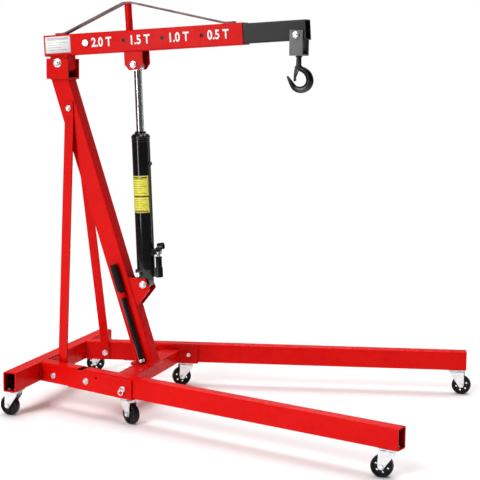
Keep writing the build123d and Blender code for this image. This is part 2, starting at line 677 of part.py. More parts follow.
def build_socket():
    place = Pos(SOCKET_X0, 0, SOCKET_Z) * Rot(0, -SOCKET_TILT, 0)
    depth = SOCKET_X1 - SOCKET_X0
    cheek = [(FULCRUM_X - 6, FULCRUM_Z - 5), (PUMP_X - 2, LINK_Z - 7), (PUMP_X + 8, LINK_Z - 7),
             (PUMP_X + 12, SOCKET_Z - 4), (SOCKET_X0 + 1, SOCKET_Z + 2), (FULCRUM_X - 6, FULCRUM_Z + 5)]
    body = place * rod_x(SOCKET_R, 0, depth) + plate_xz(cheek, -8.4, -5.8) + plate_xz(cheek, 5.8, 8.4)
    body -= place * rod_x(SOCKET_BORE_R, 4, depth + 2)
    body -= rod_y(4 + RUN, -30, 30, FULCRUM_X, FULCRUM_Z)
    return RAM * (body - box(PUMP_X - 6, PUMP_X + 6, -30, 30, LINK_Z - 3.8, LINK_Z + 3.8))


def build_valve():
    knob = rod_y(9, -44, -27.5, VALVE_X, VALVE_Z) + rod_y(5, -28, -14, VALVE_X, VALVE_Z)
    knob -= box(VALVE_X - 1.6, VALVE_X + 1.6, -46, -39, VALVE_Z - 12, VALVE_Z + 12)
    return RAM * knob


# ---- stored handle ----------------------------------------------------------------------
def build_handle_rod():
    return MAST * rod_z(HANDLE_R, HANDLE_LOW, GRIP_LOW + 40, HANDLE_X, HANDLE_Y)


def build_grip():
    grip = rod_z(GRIP_R, GRIP_LOW, GRIP_TOP, HANDLE_X, HANDLE_Y)
    grip = fillet(grip.edges().group_by(Axis.Z)[-1], 5)
    return MAST * (grip - rod_z(HANDLE_R, GRIP_LOW - 1, GRIP_LOW + 40, HANDLE_X, HANDLE_Y))


def build_clip():
    ring = rod_z(HANDLE_R + 3.6, CLIP_S - 9, CLIP_S + 9, HANDLE_X, HANDLE_Y)
    pad = box(HANDLE_X - 9, HANDLE_X + 9, HANDLE_Y + 6, -MAST_W / 2, CLIP_S - 9, CLIP_S + 9)
    return MAST * (ring + pad - rod_z(HANDLE_R + 0.6, 0, 500, HANDLE_X, HANDLE_Y))


def base_plates():
    plates = []
    for side in (-1, 1):
        middle = Vector(TUBE_W / 2, side * REAR_CASTER_Y, 0)
        plates.append(caster_place(middle, BASE_BOTTOM, 90) * caster_plate())
    mid = caster_place(MID_SPOT, MID_CASTER_TOP, -SPLAY_DEG) * caster_plate()
    return group(*plates, mid, far(mid))


def base_bolts():
    bolts = []
    for side in (-1, 1):
        place = caster_place(Vector(TUBE_W / 2, side * REAR_CASTER_Y, 0), BASE_BOTTOM, 90)
        bolts += [place * bolt for bolt in caster_bolts(WALL)]
    return group(*bolts)


def export(name, shape):
    export_step(Pos(-ORIGIN_X, 0, 0) * shape, "parts/" + name + ".step")


def main():
    os.makedirs("parts", exist_ok=True)
    rail, saddle, leg, brace = build_rail(), build_saddle(), build_leg(), build_brace()
    lock = group(build_lock_pin(), build_lock_ring())
    leg_mount = build_leg_caster_mount()
    export("rear_cross_tube", build_rear_tube())
    export("front_cross_tube", build_front_tube())
    export("caster_plates_base", base_plates())
    export("caster_bolts_base", base_bolts())
    fold = build_fold_pin()
    export("fold_pins", group(fold, far(fold)))
    for side, place in (("right", lambda shape: shape), ("left", far)):
        export("side_rail_" + side, place(rail))
        export("leg_saddle_" + side, place(saddle))
        export("lock_pin_" + side, place(lock))
        export("leg_tube_" + side, place(leg))
        export("leg_caster_mount_" + side, place(leg_mount))
        export("brace_" + side, place(brace))
    for name, spot, top, turn in CASTERS:
        place = caster_place(spot, top, turn)
        export("fork_" + name, group(place * caster_fork(top), place * caster_axle(top)))
        export("wheel_" + name, place * caster_wheel(top))
    export("mast_foot_plate", build_foot_plate())
    export("mast_post", build_mast())
    export("mast_head", build_head())
    export("ram_clevis", build_ram_clevis())
    export("brace_bolts", build_brace_bolts())
    export("boom_pivot_bolt", build_pivot_bolt())
    export("boom_tube", build_boom())
    export("boom_lugs", group(build_lug(), build_ears()))
    export("truss_post", build_post())
    export("truss_strap", build_strap())
    export("extension_tube", build_extension())
    export("extension_pin", build_ext_pin())
    export("hook_yoke", build_yoke())
    export("yoke_bolt", build_yoke_bolt())
    export("crane_hook", build_hook())
    export("hook_latch", build_latch())
    export("ram_lower_bolt", build_lower_bolt())
    export("ram_base", build_ram_base())
    export("ram_cylinder", build_ram_cylinder())
    export("ram_cap", build_ram_cap())
    export("ram_ring", build_ram_ring())
    export("ram_rod", build_ram_rod())
    export("ram_upper_bolt", build_upper_bolt())
    export("pump_cylinder", build_pump_cylinder())
    export("pump_plunger", build_plunger())
    export("handle_socket", build_socket())
    export("release_valve", build_valve())
    export("handle_rod", build_handle_rod())
    export("handle_grip", build_grip())
    export("handle_clip", build_clip())


CASTERS = (
    ("rear_right", REAR_SPOT, BASE_BOTTOM, 172),
    ("rear_left", Vector(REAR_SPOT.X, REAR_CASTER_Y, 0), BASE_BOTTOM, 195),
    ("mid_right", MID_SPOT, MID_CASTER_TOP, -30),
    ("mid_left", Vector(MID_SPOT.X, -MID_SPOT.Y, 0), MID_CASTER_TOP, 215),
    ("front_right", TIP_SPOT, BASE_BOTTOM, 183),
    ("front_left", Vector(TIP_SPOT.X, -TIP_SPOT.Y, 0), BASE_BOTTOM, 4),
)

main()
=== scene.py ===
import math

import bpy
from mathutils import Matrix, Vector


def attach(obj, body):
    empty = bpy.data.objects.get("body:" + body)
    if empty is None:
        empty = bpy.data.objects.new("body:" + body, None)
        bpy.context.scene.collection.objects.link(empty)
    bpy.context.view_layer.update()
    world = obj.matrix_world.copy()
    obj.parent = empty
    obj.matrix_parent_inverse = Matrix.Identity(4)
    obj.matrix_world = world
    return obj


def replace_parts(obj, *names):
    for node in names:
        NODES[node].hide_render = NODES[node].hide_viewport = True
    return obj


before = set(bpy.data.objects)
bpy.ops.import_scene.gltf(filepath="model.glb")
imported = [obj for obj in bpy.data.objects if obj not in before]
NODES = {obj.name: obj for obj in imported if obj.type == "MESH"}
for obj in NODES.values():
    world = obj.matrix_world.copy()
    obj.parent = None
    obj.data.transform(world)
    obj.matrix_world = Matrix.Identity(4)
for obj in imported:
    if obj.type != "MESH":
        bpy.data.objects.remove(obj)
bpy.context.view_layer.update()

# ---- dimensions in millimetres; x runs forward from the rear face of the rear cross tube ---------
ORIGIN_X = 729.31                  # the middle of the crane, where the shared frame has its origin
SPLAY = math.radians(14.7)         # each rail and leg turns outwards
LEAN = math.radians(18.3)          # the mast leans back
RISE = math.radians(3.94)          # the boom points up
TUBE_W = 50.0                      # width of the rear cross tube, the rails and the legs
RAIL_Y = 214.0                     # a rail's outer face, where it meets the rear cross tube
PLATE_FACE = 6.4                   # face of a saddle plate, out from the rail's own face
CROSS_TUBE_X = (340.0, 412.0)      # rear and front faces of the front cross tube
FOOT = (384.7, 0.0, 153.0)         # middle of the mast's lower end
MAST_HALF_D, MAST_HALF_W = 34.5, 31.0
PIVOT = (41.0, 1247.0)             # x and z of the boom's pivot
RAM_FOOT = (378.0, 446.0)          # x and z of the ram's lower bolt
BOOM_HALF_W, BOOM_H = 36.0, 77.0
# places on the boom: s forward from its rear end, u up from its underside
PIVOT_S, PIVOT_U = 55.0, -25.0
EAR_S, EAR_U = 353.0, -47.0        # the ram's upper bolt
POST_S, POST_TOP = 330.0, 172.0
HOLE_S, HOLE_PITCH = 171.0, 150.0
YOKE_S, YOKE_U = 968.0, 22.0
# the hook, from the middle of its bowl
HOOK_DROP, HOOK_OFFSET = 153.0, 6.0    # below and in front of the yoke's bolt
HOOK_SHANK_X = -6.0
LATCH_PIN = (-10.0, 0.0, 42.0)


# ---- local frames: millimetres in, metres of the shared frame out --------------------------------
def local_frame(x, y, z, x_dir=(1, 0, 0), z_dir=(0, 0, 1)):
    x_axis, z_axis = Vector(x_dir), Vector(z_dir)
    y_axis = z_axis.cross(x_axis)
    axes = Matrix((x_axis, y_axis, z_axis)).transposed().to_4x4()
    spot = Vector(((x - ORIGIN_X) / 1000, y / 1000, z / 1000))
    return Matrix.Translation(spot) @ axes @ Matrix.Scale(0.001, 4)


def tilted(x, z, angle):
    c, s = math.cos(angle), math.sin(angle)
    return local_frame(x, 0, z, (c, 0, s), (-s, 0, c))


WORLD = local_frame(0, 0, 0)
RAIL = local_frame(TUBE_W, -RAIL_Y, 0, (math.cos(SPLAY), -math.sin(SPLAY), 0))
MAST = tilted(FOOT[0], FOOT[2], LEAN)
BOOM_X = PIVOT[0] - PIVOT_S * math.cos(RISE) + PIVOT_U * math.sin(RISE)
BOOM_Z = PIVOT[1] - PIVOT_S * math.sin(RISE) - PIVOT_U * math.cos(RISE)
BOOM = tilted(BOOM_X, BOOM_Z, RISE)


def boom_xz(s, u):
    return (BOOM_X + s * math.cos(RISE) - u * math.sin(RISE),
            BOOM_Z + s * math.sin(RISE) + u * math.cos(RISE))


EYE = boom_xz(EAR_S, EAR_U)
RAM_LEAN = math.atan2(RAM_FOOT[0] - EYE[0], EYE[1] - RAM_FOOT[1])
RAM = tilted(RAM_FOOT[0], RAM_FOOT[1], RAM_LEAN)
YOKE_X, YOKE_Z = boom_xz(YOKE_S, YOKE_U)
HOOK = local_frame(YOKE_X + HOOK_OFFSET, 0, YOKE_Z - HOOK_DROP)


def move(x=0.0, y=0.0, z=0.0):
    return Matrix.Translation((x, y, z))


def turn(degrees, axis):
    return Matrix.Rotation(math.radians(degrees), 4, axis)


NEAR = turn(90, "X")      # local z points to the near side
FAR = turn(-90, "X")      # local z points to the far side


def place_object(name, data):
    obj = bpy.data.objects.new(name, data)
    bpy.context.scene.collection.objects.link(obj)
    return obj


# ---- procedural materials ------------------------------------------------------------------------
COLOUR_MIX_INPUTS, COLOUR_MIX_RESULT = (0, 6, 7), 2      # sockets of a Mix node that mixes colours
BEVEL_SAMPLES = 4
# the black that the painted shade in seams and open tube ends darkens towards
SHADE_BLACK = (0.0, 0.0, 0.0, 1)


class Shader:
    """A Principled material whose nodes are added one call at a time."""

    def __init__(self, name):
        self.material = bpy.data.materials.new(name)
        self.material.use_nodes = True
        self.tree = self.material.node_tree
        self.bsdf = self.tree.nodes["Principled BSDF"]
        self.coords = self.tree.nodes.new("ShaderNodeTexCoord")
        self.normal = None

    def node(self, kind, links=None, **values):
        made = self.tree.nodes.new("ShaderNode" + kind)
        for key, value in values.items():
            setattr(made, key, value)
        for key, value in (links or {}).items():
            self.feed(made.inputs[key], value)
        return made

    def feed(self, socket, value):
        if isinstance(value, bpy.types.NodeSocket):
            self.tree.links.new(value, socket)
        else:
            socket.default_value = value

    def set(self, **values):
        for key, value in values.items():
            self.feed(self.bsdf.inputs[key.replace("_", " ")], value)

    def noise(self, scale, detail=2.0, stretch=(1, 1, 1), rough=0.5, space="Object"):
        place = self.node("Mapping", {"Vector": self.coords.outputs[space], "Scale": stretch})
        return self.node("TexNoise", {"Vector": place.outputs[0], "Scale": scale, "Detail": detail,
                                      "Roughness": rough}).outputs["Fac"]

    def ramp(self, fac, low, high, out_low=0.0, out_high=1.0):
        return self.node("MapRange", {"Value": fac, "From Min": low, "From Max": high, "To Min": out_low,
                                      "To Max": out_high}, interpolation_type="SMOOTHSTEP").outputs[0]

    def math(self, operation, a, b=0.0):
        made = self.node("Math", operation=operation)
        self.feed(made.inputs[0], a)
        self.feed(made.inputs[1], b)
        return made.outputs[0]

    def mix(self, fac, a, b):
        made = self.node("Mix", data_type="RGBA")
        for index, value in zip(COLOUR_MIX_INPUTS, (fac, a, b)):
            self.feed(made.inputs[index], value)
        return made.outputs[COLOUR_MIX_RESULT]

    def round_edges(self, radius):
        self.normal = self.node("Bevel", {"Radius": radius}, samples=BEVEL_SAMPLES).outputs[0]

    def edge_mask(self, radius, low=0.02, high=0.25):
        soft = self.node("Bevel", {"Radius": radius}, samples=BEVEL_SAMPLES).outputs[0]
        hard = self.node("NewGeometry").outputs["Normal"]
        dot = self.node("VectorMath", {0: soft, 1: hard}, operation="DOT_PRODUCT").outputs["Value"]
        return self.ramp(self.math("SUBTRACT", 1.0, dot), low, high)

    def paint_seam_shade(self, colour, darkest, reach=0.09, closed=0.12, clear=0.62):
        """Painted shade: ambient occlusion darkens the colour towards black in the seams and inside the open
        tubes.
        """
        occlusion = self.node("AmbientOcclusion", {"Distance": reach}, samples=6).outputs["AO"]
        level = self.ramp(occlusion, closed, clear, darkest, 1.0)
        return self.mix(self.math("SUBTRACT", 1.0, level), colour, SHADE_BLACK)

    def bump(self, height, distance, strength=1.0):
        links = {"Height": height, "Distance": distance, "Strength": strength}
        if self.normal is not None:
            links["Normal"] = self.normal
        self.normal = self.node("Bump", links).outputs[0]

    def done(self):
        if self.normal is not None:
            self.set(Normal=self.normal)
        return self.material


def paint(name, colour, deep, edge, rough=0.26, spread=0.1, gloss=0.16, peel=0.00004, seam_shade=0.3):
    """Sprayed enamel: orange peel, a painted highlight along the edges, painted shade in the seams and open
    tube ends, dust dulling and a few faint scuffs.
    """
    s = Shader(name)
    s.round_edges(0.0012)
    broad = s.noise(5.0, 3.0)
    blend = s.mix(s.ramp(broad, 0.35, 0.7), colour, deep)
    # painted highlight: a lighter edge colour along the edges, broken up by noise; the scuffs take the same
    # colour
    thin = s.math("MULTIPLY", s.edge_mask(0.0022), s.ramp(s.noise(140.0, 4.0), 0.38, 0.62))
    scuff = s.ramp(s.noise(60.0, 6.0, (1, 1, 6), 0.7), 0.71, 0.78)
    scuffs_and_painted_light = s.mix(s.math("MULTIPLY", scuff, 0.12), s.mix(s.math("MULTIPLY", thin, 0.5), blend, edge), edge)
    # painted shade: the colour darkened towards black in the seams and inside the open tube ends
    scuffs_and_painted_light = s.paint_seam_shade(scuffs_and_painted_light, seam_shade)
    dust = s.ramp(s.noise(22.0, 6.0, rough=0.65), 0.4, 0.75, rough, rough + spread)
    s.bump(s.noise(420.0, 2.0), peel, 0.5)
    s.bump(s.noise(30.0, 2.0), peel * 4, 0.35)
    s.set(Base_Color=scuffs_and_painted_light, Roughness=s.math("ADD", dust, s.math("MULTIPLY", scuff, 0.12)),
          Specular_IOR_Level=gloss)
    return s.done()


def plated(name, colour, dull, rough=0.26, mottle=90.0, edges=0.0006):
    """Bright zinc plate: soft spangle, handling smears, small dark pits and painted shade along the edges.
    """
    s = Shader(name)
    s.round_edges(edges)
    cells = s.node("TexVoronoi", {"Vector": s.coords.outputs["Object"], "Scale": mottle * 3})
    spangle = s.node("RGBToBW", {"Color": cells.outputs["Color"]}).outputs[0]
    smear = s.noise(mottle, 5.0, (1, 1, 3), 0.6)
    base = s.mix(s.ramp(smear, 0.35, 0.72), colour, dull)
    pits = s.ramp(s.noise(700.0, 3.0), 0.66, 0.74)
    s.bump(s.noise(900.0, 3.0), 0.00003, 0.5)
    # painted shade: the edges darkened towards near black, mixed in with the real dark pits
    film = s.math("MULTIPLY", s.edge_mask(0.0014, 0.02, 0.3), 0.8)
    pits_and_edge_shade = s.math("MAXIMUM", s.math("MULTIPLY", pits, 0.35), film)
    s.set(Base_Color=s.mix(pits_and_edge_shade, base, (0.07, 0.07, 0.075, 1)), Metallic=0.85,
          Roughness=s.math("ADD", s.ramp(smear, 0.3, 0.75, rough, rough + 0.16),
                           s.math("MULTIPLY", spangle, 0.05)))
    return s.done()


def polished_rod():
    """Hard chrome: drawn lines along the rod and a faint film of oil."""
    s = Shader("chrome_rod")
    s.round_edges(0.0006)
    drawn = s.noise(60.0, 3.0, (6, 6, 0.05))
    film = s.ramp(s.noise(9.0, 3.0, (1, 1, 0.4)), 0.4, 0.7)
    s.bump(drawn, 0.00001, 0.3)
    s.set(Base_Color=s.mix(film, (0.66, 0.67, 0.69, 1), (0.50, 0.51, 0.53, 1)), Metallic=1.0,
          Roughness=s.math("ADD", s.ramp(drawn, 0.3, 0.7, 0.16, 0.24), s.math("MULTIPLY", film, 0.05)))
    return s.done()


def dark_steel(name, colour, light, rough=0.34, grain=(1, 1, 1), metallic=0.75, scale=220.0):
    """Blackened or rolled steel: scale grain, rubbed bright on the edges."""
    s = Shader(name)
    s.round_edges(0.001)
    grit = s.noise(scale, 5.0, grain, 0.62)
    rub = s.math("MULTIPLY", s.edge_mask(0.002, 0.01, 0.2), s.ramp(s.noise(90.0, 4.0), 0.35, 0.6))
    patch = s.ramp(s.noise(18.0, 5.0), 0.4, 0.7)
    tone = s.mix(s.math("MULTIPLY", patch, 0.45), colour, light)
    s.bump(grit, 0.00012, 0.6)
    s.set(Base_Color=s.mix(s.math("MULTIPLY", rub, 0.6), tone, light), Metallic=metallic,
          Specular_IOR_Level=0.3, Roughness=s.ramp(grit, 0.3, 0.7, rough, rough + 0.18))
    return s.done()


def moulded(name, colour, worn, rough=0.32, grain=500.0, depth=0.00004, specks=0.3):
    """Moulded plastic or rubber: fine grain, flow marks and scuffed high spots."""
    s = Shader(name)
    s.round_edges(0.0012)
    fine = s.noise(grain, 3.0)
    flow = s.ramp(s.noise(28.0, 4.0, (1, 1, 2)), 0.35, 0.7)
    scuff = s.math("MULTIPLY", s.ramp(s.noise(160.0, 6.0, rough=0.7), 0.55, 0.72), specks)
    edge = s.math("MULTIPLY", s.edge_mask(0.0024), 0.35)
    s.bump(fine, depth, 0.6)
    s.set(Base_Color=s.mix(s.math("MAXIMUM", scuff, edge), colour, worn), Specular_IOR_Level=0.2,
          Roughness=s.math("ADD", s.math("MULTIPLY", flow, 0.14),
                           s.ramp(fine, 0.3, 0.7, rough, rough + 0.08)))
    return s.done()


def printed(name, field, ink, accent, rows, block, bar=0.3):
    """A printed sticker: a thin border, a heading block and rows of plain bars in place of print."""
    s = Shader(name)
    split = s.node("SeparateXYZ", {"Vector": s.coords.outputs["UV"]})
    u, v = split.outputs[0], split.outputs[1]

    def band(value, low, high):
        return s.math("MULTIPLY", s.math("GREATER_THAN", value, low), s.math("LESS_THAN", value, high))

    row = s.math("FRACT", s.math("MULTIPLY", v, rows))
    number = s.math("FLOOR", s.math("MULTIPLY", v, rows))
    ragged = s.node("TexWhiteNoise", {"W": number}, noise_dimensions="1D").outputs["Value"]
    ending = s.math("SUBTRACT", 0.9, s.math("MULTIPLY", ragged, 0.3))
    start = s.math("GREATER_THAN", u, 0.1)
    length = s.math("MULTIPLY", start, s.math("LESS_THAN", u, ending))
    dashes = s.math("GREATER_THAN", s.noise(95.0, 1.0, (1, 0.15, 1), space="UV"), 0.4)
    lines = s.math("MULTIPLY", s.math("MULTIPLY", band(row, 0.25, 0.25 + bar), length), dashes)
    body = s.math("MULTIPLY", lines, band(v, 0.08, 0.9 - block))
    heading = s.math("MULTIPLY", band(v, 0.92 - block, 0.93), band(u, 0.08, 0.92))
    inside = s.math("MULTIPLY", band(u, 0.03, 0.97), band(v, 0.035, 0.965))
    border = s.math("SUBTRACT", 1.0, inside)
    worn = s.ramp(s.noise(70.0, 5.0), 0.35, 0.75)
    sheet = s.mix(s.math("MULTIPLY", worn, 0.12), field, (0.5, 0.48, 0.42, 1))
    colour = s.mix(s.math("MULTIPLY", body, 0.75), sheet, ink)
    colour = s.mix(s.math("MULTIPLY", border, 0.55), s.mix(heading, colour, accent), ink)
    s.bump(s.noise(300.0, 2.0), 0.00002, 0.4)
    s.set(Base_Color=colour, Roughness=s.ramp(worn, 0.0, 1.0, 0.3, 0.42))
    return s.done()


# each paint's third colour is lighter, a painted highlight along the edges that the scuffs share; a low seam
# number makes the painted shade in seams and tube ends darker
RED = paint("red_enamel", (0.68, 0.004, 0.003, 1), (0.63, 0.003, 0.0025, 1), (0.82, 0.03, 0.022, 1),
            gloss=0.07, seam_shade=0.06)
RED_WELD = paint("red_enamel_weld", (0.60, 0.005, 0.004, 1), (0.45, 0.004, 0.003, 1), (0.78, 0.03, 0.03, 1),
                 rough=0.3, spread=0.12, gloss=0.12)
BLACK_GLOSS = paint("black_enamel_gloss", (0.003, 0.003, 0.0035, 1), (0.006, 0.006, 0.0065, 1),
                    (0.05, 0.05, 0.055, 1), rough=0.08, spread=0.05, gloss=0.48, peel=0.000006)
BLACK_SATIN = paint("black_enamel_satin", (0.020, 0.020, 0.021, 1), (0.030, 0.030, 0.031, 1),
                    (0.16, 0.16, 0.165, 1), rough=0.34, spread=0.12, gloss=0.2, peel=0.00006)
YOKE_BLACK = paint("yoke_black", (0.17, 0.17, 0.175, 1), (0.075, 0.075, 0.08, 1), (0.3, 0.3, 0.3, 1),
                   rough=0.36, spread=0.14, gloss=0.25, peel=0.0001)
CHROME = polished_rod()
ZINC = plated("zinc_plate", (0.93, 0.93, 0.94, 1), (0.72, 0.73, 0.75, 1))
ZINC_SHEET = plated("zinc_pressed_sheet", (0.90, 0.91, 0.92, 1), (0.70, 0.71, 0.73, 1),
                    rough=0.24, mottle=60.0, edges=0.0008)
FORGED = dark_steel("forged_steel", (0.014, 0.014, 0.015, 1), (0.16, 0.16, 0.17, 1), rough=0.24)
STRAP = dark_steel("rolled_strap", (0.115, 0.062, 0.062, 1), (0.30, 0.21, 0.21, 1),
                   grain=(0.2, 1, 1), metallic=0.35)
NYLON = moulded("wheel_nylon", (0.005, 0.005, 0.006, 1), (0.05, 0.05, 0.05, 1), rough=0.26)
RUBBER = moulded("grip_rubber", (0.004, 0.004, 0.004, 1), (0.035, 0.035, 0.035, 1),
                 rough=0.42, grain=380.0, depth=0.00008)
HANDLE_STEEL = paint("handle_black", (0.004, 0.004, 0.0045, 1), (0.007, 0.007, 0.008, 1),
                     (0.09, 0.09, 0.09, 1), rough=0.2, gloss=0.3)
WHITE_INK = moulded("white_marking", (0.93, 0.93, 0.92, 1), (0.74, 0.72, 0.70, 1),
                    rough=0.3, grain=300.0, depth=0.00002, specks=0.2)
WHITE_LABEL = printed("rating_label", (0.93, 0.93, 0.92, 1), (0.30, 0.30, 0.32, 1), (0.55, 0.55, 0.57, 1),
                      rows=7.0, block=0.14)
YELLOW_LABEL = printed("care_label", (0.84, 0.78, 0.06, 1), (0.05, 0.05, 0.03, 1), (0.03, 0.03, 0.02, 1),
                       rows=9.0, block=0.055)

FINISH = (
    (("rear_cross_tube", "side_rail", "leg_saddle", "front_cross_tube", "mast_", "ram_clevis", "brace_left",
      "brace_right", "handle_clip", "boom_tube", "boom_lugs", "truss_post", "leg_tube"), RED),
    (("truss_strap",), STRAP),
    (("extension_tube",), BLACK_SATIN),
    (("hook_yoke",), YOKE_BLACK),
    (("crane_hook", "hook_latch"), FORGED),
    (("ram_base", "ram_cylinder", "ram_cap", "pump_cylinder", "handle_socket"), BLACK_GLOSS),
    (("ram_rod", "ram_ring", "pump_plunger"), CHROME),
    (("wheel_",), NYLON),
    (("fork_", "caster_plates", "leg_caster_mount"), ZINC_SHEET),
    (("handle_rod",), HANDLE_STEEL),
    (("handle_grip",), RUBBER),
)


def finish_of(node):
    for starts, material in FINISH:
        if node.startswith(starts):
            return material
    return ZINC


for node, obj in NODES.items():
    obj.data.materials.clear()
    obj.data.materials.append(finish_of(node))


# ---- mesh building -------------------------------------------------------------------------------
class Shape:
    """Collects surfaces in local millimetres and builds one mesh piece in the shared frame."""

    def __init__(self):
        self.verts = []
        self.faces = []
        self.uvs = {}

    def add(self, place, verts, faces):
        base = len(self.verts)
        self.verts += [place @ Vector(v) for v in verts]
        self.faces += [[base + i for i in f] for f in faces]

    def rings(self, place, rings, closed=False):
        """Quads between rings of points; a row of rings that isn't closed gets two end caps."""
        n, verts = len(rings[0]), [p for ring in rings for p in ring]
        faces = []
        spans = len(rings) if closed else len(rings) - 1
        for k in range(spans):
            low, high = k * n, (k + 1) % len(rings) * n
            faces += [[low + i, low + (i + 1) % n, high + (i + 1) % n, high + i] for i in range(n)]
        if not closed:
            last = (len(rings) - 1) * n
            faces += [list(range(n))[::-1], list(range(last, last + n))]
        self.add(place, verts, faces)

    def lathe(self, place, profile, steps=40, closed=False):
        """profile is (radius, height) pairs about local z."""
        angles = [2 * math.pi * i / steps for i in range(steps)]
        rings = [[(r * math.cos(a), r * math.sin(a), h) for a in angles] for r, h in profile]
        self.rings(place, rings, closed)

    def hexagon(self, place, flats, low, high, crown=0.94):
        """A hexagon head or nut whose corners are turned down on top only."""
        steps, flat, slope = 48, flats / 2, 0.45
        crown_r = flat * crown

        def reach(angle):
            return flat / math.cos((angle + math.pi / 6) % (math.pi / 3) - math.pi / 6)

        levels = [[], [], []]
        for angle in (2 * math.pi * i / steps for i in range(steps)):
            r, c, s = reach(angle), math.cos(angle), math.sin(angle)
            levels[0].append((r * c, r * s, low))
            levels[1].append((r * c, r * s, high - (r - crown_r) * slope))
            levels[2].append((crown_r * c, crown_r * s, high))
        self.rings(place, levels)

    def thread(self, place, radius, low, high, pitch=1.75, depth=0.9):
        """A threaded end: ridges at the thread's pitch and a turned-down tip."""
        root = radius - depth
        profile, h = [(root, low)], low
        while h + pitch < high - 1.2:
            profile += [(root, h + 0.1), (radius, h + pitch * 0.45), (radius, h + pitch * 0.6),
                        (root, h + pitch)]
            h += pitch
        profile += [(radius - 0.7, high - 1.0), (radius - 1.8, high)]
        self.lathe(place, profile, 28)

    def build(self, name, material, body, slot, mirrored=False, sharp=38.0):
        verts = [Vector((v.x, -v.y, v.z)) for v in self.verts] if mirrored else self.verts
        faces = [f[::-1] for f in self.faces] if mirrored else self.faces
        mesh = bpy.data.meshes.new(name)
        mesh.from_pydata(verts, [], faces)
        if self.uvs:
            layer = mesh.uv_layers.new(name="print")
            for loop in mesh.loops:
                layer.data[loop.index].uv = self.uvs[loop.vertex_index]
        mesh.materials.append(material)
        mesh.polygons.foreach_set("use_smooth", [True] * len(mesh.polygons))
        mesh.set_sharp_from_angle(angle=math.radians(sharp))
        obj = place_object(name, mesh)
        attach(obj, body)
        return obj


def sweep_frames(points):
    """A tangent and two cross directions at each point of a path, with the least twist."""
    points = [Vector(p) for p in points]
    frames, side = [], None
    for i, p in enumerate(points):
        ahead = points[min(i + 1, len(points) - 1)] - points[max(i - 1, 0)]
        tangent = ahead.normalized()
        if side is None:
            side = tangent.orthogonal().normalized()
        side = (side - tangent * side.dot(tangent)).normalized()
        frames.append((p, side, tangent.cross(side)))
    return frames


def densify(points, pitch):
    path = []
    for a, b in zip(points, points[1:]):
        a, b = Vector(a), Vector(b)
        count = max(1, round((b - a).length / pitch))
        path += [a.lerp(b, k / count) for k in range(count)]
    return path + [Vector(points[-1])]


# ---- weld beads ----------------------------------------------------------------------------------
RIPPLE_STEP = 1.5
RIPPLES = (1.0, 0.93, 0.84)        # a bead's thickness from ring to ring
WELD_LOW, RAIL_WELD_TOP, CROSS_WELD_TOP = 99.0, 165.5, 144.0
SADDLE_REAR_S = 138.0              # a saddle's rear edge, along its rail
FOOT_WELD_Z, HEAD_WELD_Z = 153.6, 1187.4
FOOT_PLATE_X, FOOT_PLATE_Y, CROSS_TUBE_TOP = (346.0, 406.0), 50.0, 145.4
CLEVIS_Z, CLEVIS_FACES = (364.0, 466.0), (-31.2, -23.8, 23.8, 31.2)
LUG_WELD = (22.0, 89.0, -35.4, 35.4)
EAR_WELD_S, EAR_FACES = (320.0, 386.0), (-35.2, -27.0, 27.0, 35.2)
STRAP_WELD_S = ((74.0, 40.0), (700.0, 733.0))      # from and to, at each end of the strap
STRAP_WELD_Y, STRAP_END_U = 16.0, BOOM_H + 0.4
CYLINDER_WELDS = ((54.0, 33.3), (538.0, 33.2))     # height up the ram, and radius


def weld(shape, place, points, radius):
    """A bead with overlapping ripples along a line of points, thinner at its two ends."""
    path = densify(points, RIPPLE_STEP)
    rings = []
    for i, (p, a, b) in enumerate(sweep_frames(path)):
        end = min(i, len(path) - 1 - i)
        r = radius * RIPPLES[i % len(RIPPLES)] * min(1.0, 0.55 + 0.25 * end)
        rings.append([p + a * r * math.cos(q) + b * r * math.sin(q) for q in
                      (k * math.pi / 4 for k in range(8))])
    shape.rings(place, rings)


def circle_line(x, radius, z, sides):
    """A closed line of points round local z."""
    angles = [2 * math.pi * k / sides for k in range(sides + 1)]
    return [(x + radius * math.cos(a), radius * math.sin(a), z) for a in angles]


def rectangle(x0, x1, y0, y1, z):
    return [(x0, y0, z), (x1, y0, z), (x1, y1, z), (x0, y1, z), (x0, y0, z)]


def mast_middle(z):
    return FOOT[0] - (z - FOOT[2]) * math.tan(LEAN)


def mast_section(z):
    half = MAST_HALF_D / math.cos(LEAN)
    return rectangle(mast_middle(z) - half, mast_middle(z) + half, -MAST_HALF_W, MAST_HALF_W, z)


def clevis_line(y):
    """Where a ram clevis plate meets the mast's front face."""
    return [(mast_middle(z) + MAST_HALF_D / math.cos(LEAN), y, z) for z in CLEVIS_Z]


def base_welds():
    shape = Shape()
    inner = RAIL_Y - TUBE_W / math.cos(SPLAY)
    weld(shape, WORLD, [(TUBE_W, -RAIL_Y, 100), (TUBE_W, -RAIL_Y, RAIL_WELD_TOP),
                        (TUBE_W, -inner, RAIL_WELD_TOP), (TUBE_W, -inner, 100)], 2.6)
    plate = TUBE_W + PLATE_FACE
    s0, s1 = [(x - TUBE_W - plate * math.sin(SPLAY)) / math.cos(SPLAY) for x in CROSS_TUBE_X]
    weld(shape, RAIL, [(s0, plate, WELD_LOW), (s0, plate, CROSS_WELD_TOP),
                       (s1, plate, CROSS_WELD_TOP), (s1, plate, WELD_LOW)], 2.8)
    weld(shape, RAIL, [(SADDLE_REAR_S, -0.6, WELD_LOW), (SADDLE_REAR_S, -0.6, 160)], 2.4)
    return shape


for side, mirrored in (("right", False), ("left", True)):
    base_welds().build("base_weld_" + side, RED_WELD, "base", "frame_red", mirrored)

